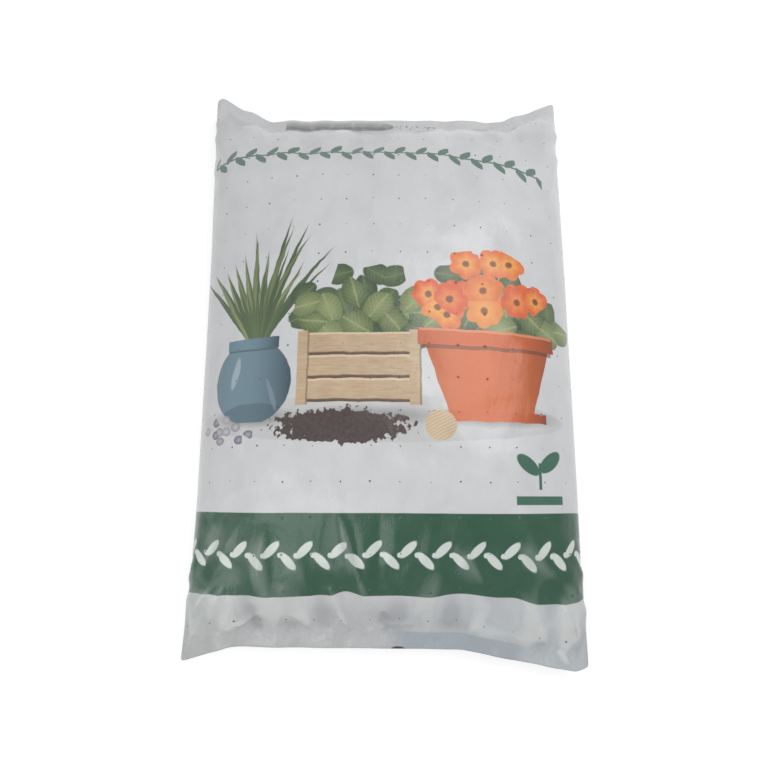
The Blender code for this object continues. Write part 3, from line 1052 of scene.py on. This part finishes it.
def print_picture(sheet, u_true, v_true):
    """The garden still life, from the back to the front. A slight waver makes it look printed."""
    u = u_true + (speckle(u_true, v_true, 14.0) - 0.5) * 1.8
    v = v_true + (speckle(u_true + 300.0, v_true, 14.0) - 0.5) * 1.8
    ground = disc(u, v, (-6.0, -78.0), (160.0, 19.0)) * speckle(u, v, 30.0)
    sheet.lay(ground * 0.5, seen(166, 164, 162))
    for middle, width in ((-108.0, 44.0), (-14.0, 62.0), (92.0, 58.0)):
        shadow = from_middle(u, v, (middle, -76.0), (width, 9.0))
        sheet.lay(shadow.under(0.75, 0.6) * 0.45, SHADE)

    print_tuft(sheet, u, v, (-106.0, -26.0), 17, (92.0, 136.0), 3.4, DARK_GREENS, 0.06)
    print_tuft(sheet, u, v, (-112.0, -20.0), 15, (80.0, 122.0), 3.8, GREENS)
    print_tuft(sheet, u, v, (-107.0, -24.0), 21, (60.0, 104.0), 2.6, DARK_GREENS, -0.05)
    print_undergrowth(sheet, u, v, (-20.0, 6.0), (56.0, 24.0), DARK_GREENS[1])
    print_foliage(sheet, u, v, (-20.0, 14.0), (58.0, 34.0), 19.0, DARK_GREENS)
    print_foliage(sheet, u + 7.0, v + 9.0, (-13.0, 18.0), (50.0, 28.0), 22.0, GREENS)
    print_undergrowth(sheet, u, v, (88.0, 12.0), (66.0, 34.0), DARK_GREENS[1])
    print_foliage(sheet, u, v, (88.0, 14.0), (74.0, 38.0), 20.0, DARK_GREENS)
    print_foliage(sheet, u + 9.0, v + 5.0, (97.0, 12.0), (76.0, 30.0), 24.0, GREENS)
    print_flowers(sheet, u, v, (84.0, 34.0), (54.0, 34.0), 25.0,
                  seen(126, 66, 30), seen(222, 96, 56), seen(238, 180, 84))
    print_flowers(sheet, u + 11.0, v + 6.0, (92.0, 36.0), (44.0, 26.0), 27.0,
                  seen(126, 66, 30), seen(214, 84, 50), seen(234, 150, 70))
    print_crate(sheet, u, v)
    print_jug(sheet, u, v)
    print_pot(sheet, u, v)
    print_ground_things(sheet, u, v)


# %% [markdown]
# ## The film itself
# The film is white polythene: not quite opaque, glossy but never flat enough to mirror anything.
# Two bumps do that: short crinkles all over, and a finer grain. The welds are pressed by a ribbed
# bar, which shows as fine lines. At the lower weld the two layers look colder, because there is no
# compost behind them, and painted shade darkens them. Painted shade also greys both ends and the
# dents of the creases, painted highlights light their ridges, and a painted reflection lies on the
# left of the green band.

# %% The printed film's material
FILM_ROUGHNESS = 0.27
WELD_AT = WELD_TO_WELD / 2 / MM


def new_material(name, roughness):
    """A Principled material, with its node tree and its shader's inputs."""
    made = bpy.data.materials.new(name)
    made.use_nodes = True
    inputs = made.node_tree.nodes["Principled BSDF"].inputs
    inputs["Roughness"].default_value = roughness
    return made, made.node_tree, inputs


def film_material():
    """White printed polythene."""
    made, tree, shader = new_material("printed polythene film", FILM_ROUGHNESS)
    shader["IOR"].default_value = 1.51
    film_map = node(tree, "ShaderNodeUVMap", uv_map="film")
    parts = node(tree, "ShaderNodeSeparateXYZ", {0: film_map.outputs[0]}).outputs
    u_all, v = (Ink(tree, parts[k]) / MM for k in (0, 1))
    on_back = u_all.over(BACK_SHIFT / MM / 2)
    u = u_all - on_back * (BACK_SHIFT / MM)
    at_end = abs(v).ramp(1 / 60, -190 / 60)
    in_fin = abs(v).over(WELD_AT)
    # The lower fin at the right: the bare film's colder tint together with painted shade.
    cold_fin_and_shade = v.ramp(-0.25, -62.6) * abs(u - 64.0).under(52.0, 16.0)
    relief = Ink(tree, node(tree, "ShaderNodeAttribute", attribute_name="lift").outputs["Fac"])
    # The relief of the creases sets painted shade in their dents and painted highlights on their
    # ridges.
    dent_shade = relief.ramp(-0.75, -0.12)
    ridge_highlight = relief.ramp(0.70, -0.35)
    low_half = (v * -1.0).over(0.0)
    # A painted shadow line along the lower weld.
    weld_shadow_line = abs(abs(v) - WELD_AT + 0.5).under(1.0, 1.2) * low_half

    cloud = speckle(u, v, 60.0) * 0.5 + speckle(u + 500.0, v, 17.0) * 0.5
    bare = Print(tree, blend(tree, cloud, FILM_WHITE, DULL_WHITE))
    # Painted shade: both ends turn greyer, the lower end most, and a little bluer towards its
    # right.
    low_end = at_end * low_half
    to_right = u.ramp(1 / 90, 0.3)
    painted_end_shade = blend(tree, to_right, seen(182, 183, 184), seen(180, 187, 191))
    bare.lay(at_end * 0.15 + low_end * 0.75, painted_end_shade)
    touching = speckle(u, v / 1.5, 21.0, 4.0).ramp(5.0, -2.3)
    bare.lay(touching * (low_end * 0.45 + 0.12), seen(172, 173, 174))
    # Painted shade in the dents of the creases, and painted highlights on their ridges.
    bare.lay(dent_shade * (low_end * 0.35 + at_end * 0.15 + 0.15), seen(150, 153, 157))
    bare.lay(ridge_highlight * (low_end * 0.6 + at_end * 0.2 + 0.15), seen(232, 232, 232))
    # The lower fin's colder tint with painted shade, and the painted shadow line at its weld.
    bare.lay(cold_fin_and_shade * 0.75, seen(154, 164, 172))
    bare.lay(weld_shadow_line * (cold_fin_and_shade * 0.35 + 0.03), seen(120, 126, 130))
    front = Print(tree, bare.colour)
    print_garland(front, u, v)
    print_picture(front, u, v)
    print_sprig(front, u, v)
    print_marks(front, u, v)
    whole = Print(tree, blend(tree, on_back, front.colour, bare.colour))
    print_band(whole, u, v)
    # A painted reflection on the green band: highlights along its ridges and glare patches at its
    # left.
    in_band = (v * -1.0).over(-BAND[1])
    far_left = u.ramp(-1 / 60, -1.75)
    band_glare = speckle(u, v, 30.0).ramp(3.4, -1.2)
    whole.lay(in_band * (ridge_highlight * 0.30 + far_left * band_glare * 0.36), seen(160, 170, 164))
    tree.links.new(whole.colour, shader["Base Color"])

    crinkle = speckle(u, v, 9.0, 5.0)
    leaning, upright = turned(u, v, -12.0)
    streaks = speckle(leaning, upright / 7.0, 7.0)
    ribs = (v / 1.3).math("FRACT") * in_fin
    height = crinkle * (at_end + 0.4) + streaks * (at_end * 0.9 + 0.3) + ribs * 0.2
    height = height + speckle(u_all, v, 1.4, 2.0) * 0.12
    bump = node(tree, "ShaderNodeBump", {"Height": height, "Strength": 0.5, "Distance": 0.0014})
    tree.links.new(bump.outputs[0], shader["Normal"])
    print("film material:", len(tree.nodes), "nodes")
    return made


def plain_material(name, colour, roughness):
    """A Principled material of one colour, mottled a little."""
    made, tree, shader = new_material(name, roughness)
    place = node(tree, "ShaderNodeTexCoord").outputs["Object"]
    mottle = node(tree, "ShaderNodeTexNoise", {"Vector": place, "Scale": 400.0})
    darker = (*(part * 0.6 for part in colour[:3]), 1.0)
    tree.links.new(blend(tree, mottle, colour, darker), shader["Base Color"])
    return made


bag.data.materials.clear()
bag.data.materials.append(film_material())

# %% Prick the film
hole_grey = plain_material("grey of a pin prick", seen(86, 97, 92), 0.7)
pricks = new_object("pin_pricks", bag.data.copy())
pricking = pricks.modifiers.new("pin pricks", "NODES")
pricking.node_group = prick_tree(bag.data.materials[0], hole_grey)
SETTINGS = {
    "Columns": 16, "Rows": 18, "Column Pitch": COLUMN_PITCH, "Row Pitch": ROW_PITCH,
    "Radius": PRICK_RADIUS, "Burr Height": BURR_HEIGHT, "Unevenness": 0.0006, "Seed": 7,
    "First Prick": (*FIRST_PRICK, 0.0),
}
for item in pricking.node_group.interface.items_tree:
    if item.in_out == "INPUT" and item.name in SETTINGS:
        pricking[item.identifier] = SETTINGS[item.name]
finish_modifier(pricks, pricking)
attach(pricks, "root")
print("pricks:", len(pricks.data.polygons), "faces")

# %% The whole bag rides on its only body and stands for the CAD solid
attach(bag, "root")
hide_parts("compost_bag")

# %% Camera
CAMERA_PLACE = (0.0025, -0.1676, 0.5035)
CAMERA_TARGET = (0.0017, -0.0427, 0.04)
CAMERA_ROLL = math.radians(0.14)
FOCAL_PIXELS = 550.7  # in the photograph's 770 pixels
IMAGE_PIXELS = 770

camera_data = bpy.data.cameras.new("camera")
camera_data.sensor_width = 36
camera_data.lens = FOCAL_PIXELS / IMAGE_PIXELS * camera_data.sensor_width
camera = new_object("camera", camera_data)
look = Vector(CAMERA_TARGET) - Vector(CAMERA_PLACE)
turn = look.to_track_quat("-Z", "Y").to_matrix().to_4x4() @ Matrix.Rotation(-CAMERA_ROLL, 4, "Z")
camera.matrix_world = Matrix.Translation(CAMERA_PLACE) @ turn
bpy.context.scene.camera = camera

# %% [markdown]
# ## Floor and light
# The photograph was taken indoors under a wide, soft light from above, and its background is plain
# white. The world gives most of the light, evenly from all sides. One large lamp at the upper right
# makes that side a little lighter, and two smaller ones low at the left shine in the gloss of the
# green band. The white of the floor and of the world comes from Light Path: only what the camera
# sees, directly or by gloss, is white. So it adds no light to the bag, and the floor still darkens
# in the bag's shadow.

# %% Floor
scene = bpy.context.scene
scene.view_settings.view_transform = "Standard"
floor_mesh = bpy.data.meshes.new("floor")
floor_mesh.from_pydata([(-4, -4, 0), (4, -4, 0), (4, 4, 0), (-4, 4, 0)], [], [(0, 1, 2, 3)])
floor = new_object("floor", floor_mesh)

FLOOR_SHADE = 0.45  # how much of the floor's white is real light, and so can be shadowed
FLOOR_GLOW = 1.04 - FLOOR_SHADE * 0.8


def seen_ray(tree):
    """1 for a ray that comes from the camera, or from it by gloss or through glass, else 0."""
    path = node(tree, "ShaderNodeLightPath").outputs
    kinds = ("Is Camera Ray", "Is Glossy Ray", "Is Transmission Ray")
    first, glossy, through = (Ink(tree, path[kind]) for kind in kinds)
    return first | glossy | through


def floor_material():
    """White paper that looks white to the camera but gives no extra light."""
    made = bpy.data.materials.new("white paper floor")
    made.use_nodes = True
    tree = made.node_tree
    tree.nodes.clear()
    paper = node(tree, "ShaderNodeBsdfDiffuse", {"Color": (0.8, 0.8, 0.8, 1)})
    shadowed = node(tree, "ShaderNodeBsdfDiffuse", {"Color": (*[FLOOR_SHADE] * 3, 1)})
    glow = node(tree, "ShaderNodeEmission", {"Color": (1, 1, 1, 1), "Strength": FLOOR_GLOW})
    white = node(tree, "ShaderNodeAddShader", {0: shadowed, 1: glow})
    both = node(tree, "ShaderNodeMixShader", {0: seen_ray(tree), 1: paper, 2: white})
    node(tree, "ShaderNodeOutputMaterial", {"Surface": both})
    return made


floor_mesh.materials.append(floor_material())


# %% Lamps and world
def soft_lamp(name, place, target, size, power):
    """A square lamp that faces its target."""
    data = bpy.data.lights.new(name, "AREA")
    data.size = size
    data.energy = power
    lamp = new_object(name, data)
    facing = (Vector(target) - Vector(place)).to_track_quat("-Z", "Y").to_matrix().to_4x4()
    lamp.matrix_world = Matrix.Translation(place) @ facing


soft_lamp("window at the upper right", (0.58, 0.38, 1.15), (0, 0, 0.05), 0.9, 8.0)
soft_lamp("low window at the lower left", (-0.42, -0.62, 0.90), (-0.05, -0.17, 0.05), 0.62, 2.9)
soft_lamp("low window at the far left", (-1.15, -0.65, 0.62), (-0.10, -0.15, 0.05), 0.6, 1.6)

WORLD_LIGHT = 0.40  # what the world gives as light, while the camera sees it white
world = bpy.data.worlds.new("studio")
scene.world = world
world.use_nodes = True
sky = world.node_tree.nodes["Background"].inputs
sky["Color"].default_value = (1, 1, 1, 1)
strength = seen_ray(world.node_tree) * (1.0 - WORLD_LIGHT) + WORLD_LIGHT
world.node_tree.links.new(strength.socket, sky["Strength"])
